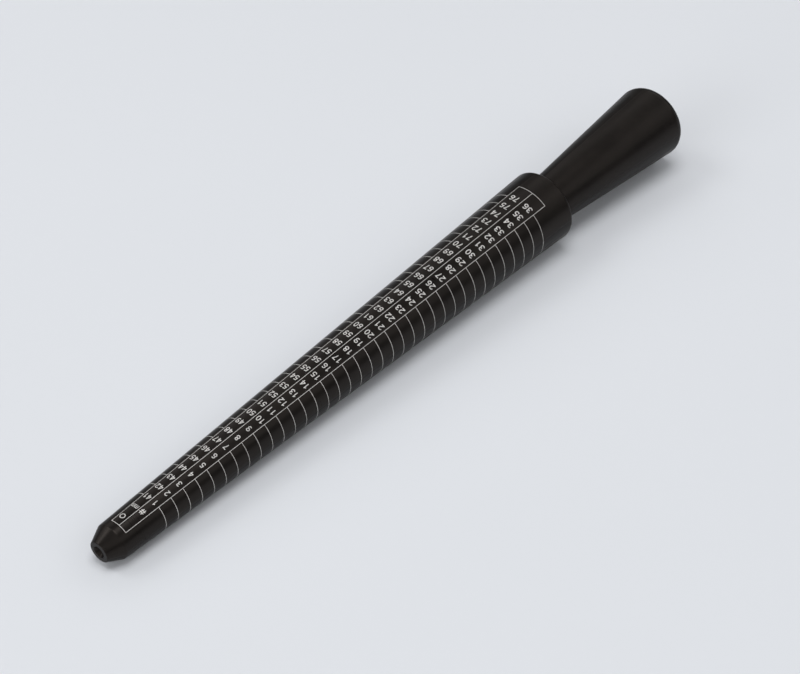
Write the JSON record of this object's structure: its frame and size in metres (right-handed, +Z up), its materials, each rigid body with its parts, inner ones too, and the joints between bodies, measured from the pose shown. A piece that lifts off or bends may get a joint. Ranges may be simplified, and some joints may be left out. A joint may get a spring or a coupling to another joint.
{
  "type": "ring mandrel",
  "caption": "Tapered ring-sizing gauge bar with a centre-drilled conical nose and a flared grip screwed to its wide end, lying on its side.",
  "frame": {"origin": "centre of the object's box at floor level, with the mandrel lying on its side on the flat of its cone", "axes": "+X along the floor from the narrow tip towards the grip, +Z up. The mandrel's own axis climbs towards the grip by half of the cone's included angle"},
  "size_m": [0.262, 0.0258, 0.0274],
  "materials": {
    "bar_black": "black anodised, satin",
    "grip_black": "black anodised, satin",
    "stud_steel": "plain machined"
  },
  "bodies": {
    "root": {"gauge_bar": "bar_black", "grip": "grip_black", "joining_stud": "stud_steel"}
  },
  "joints": []
}
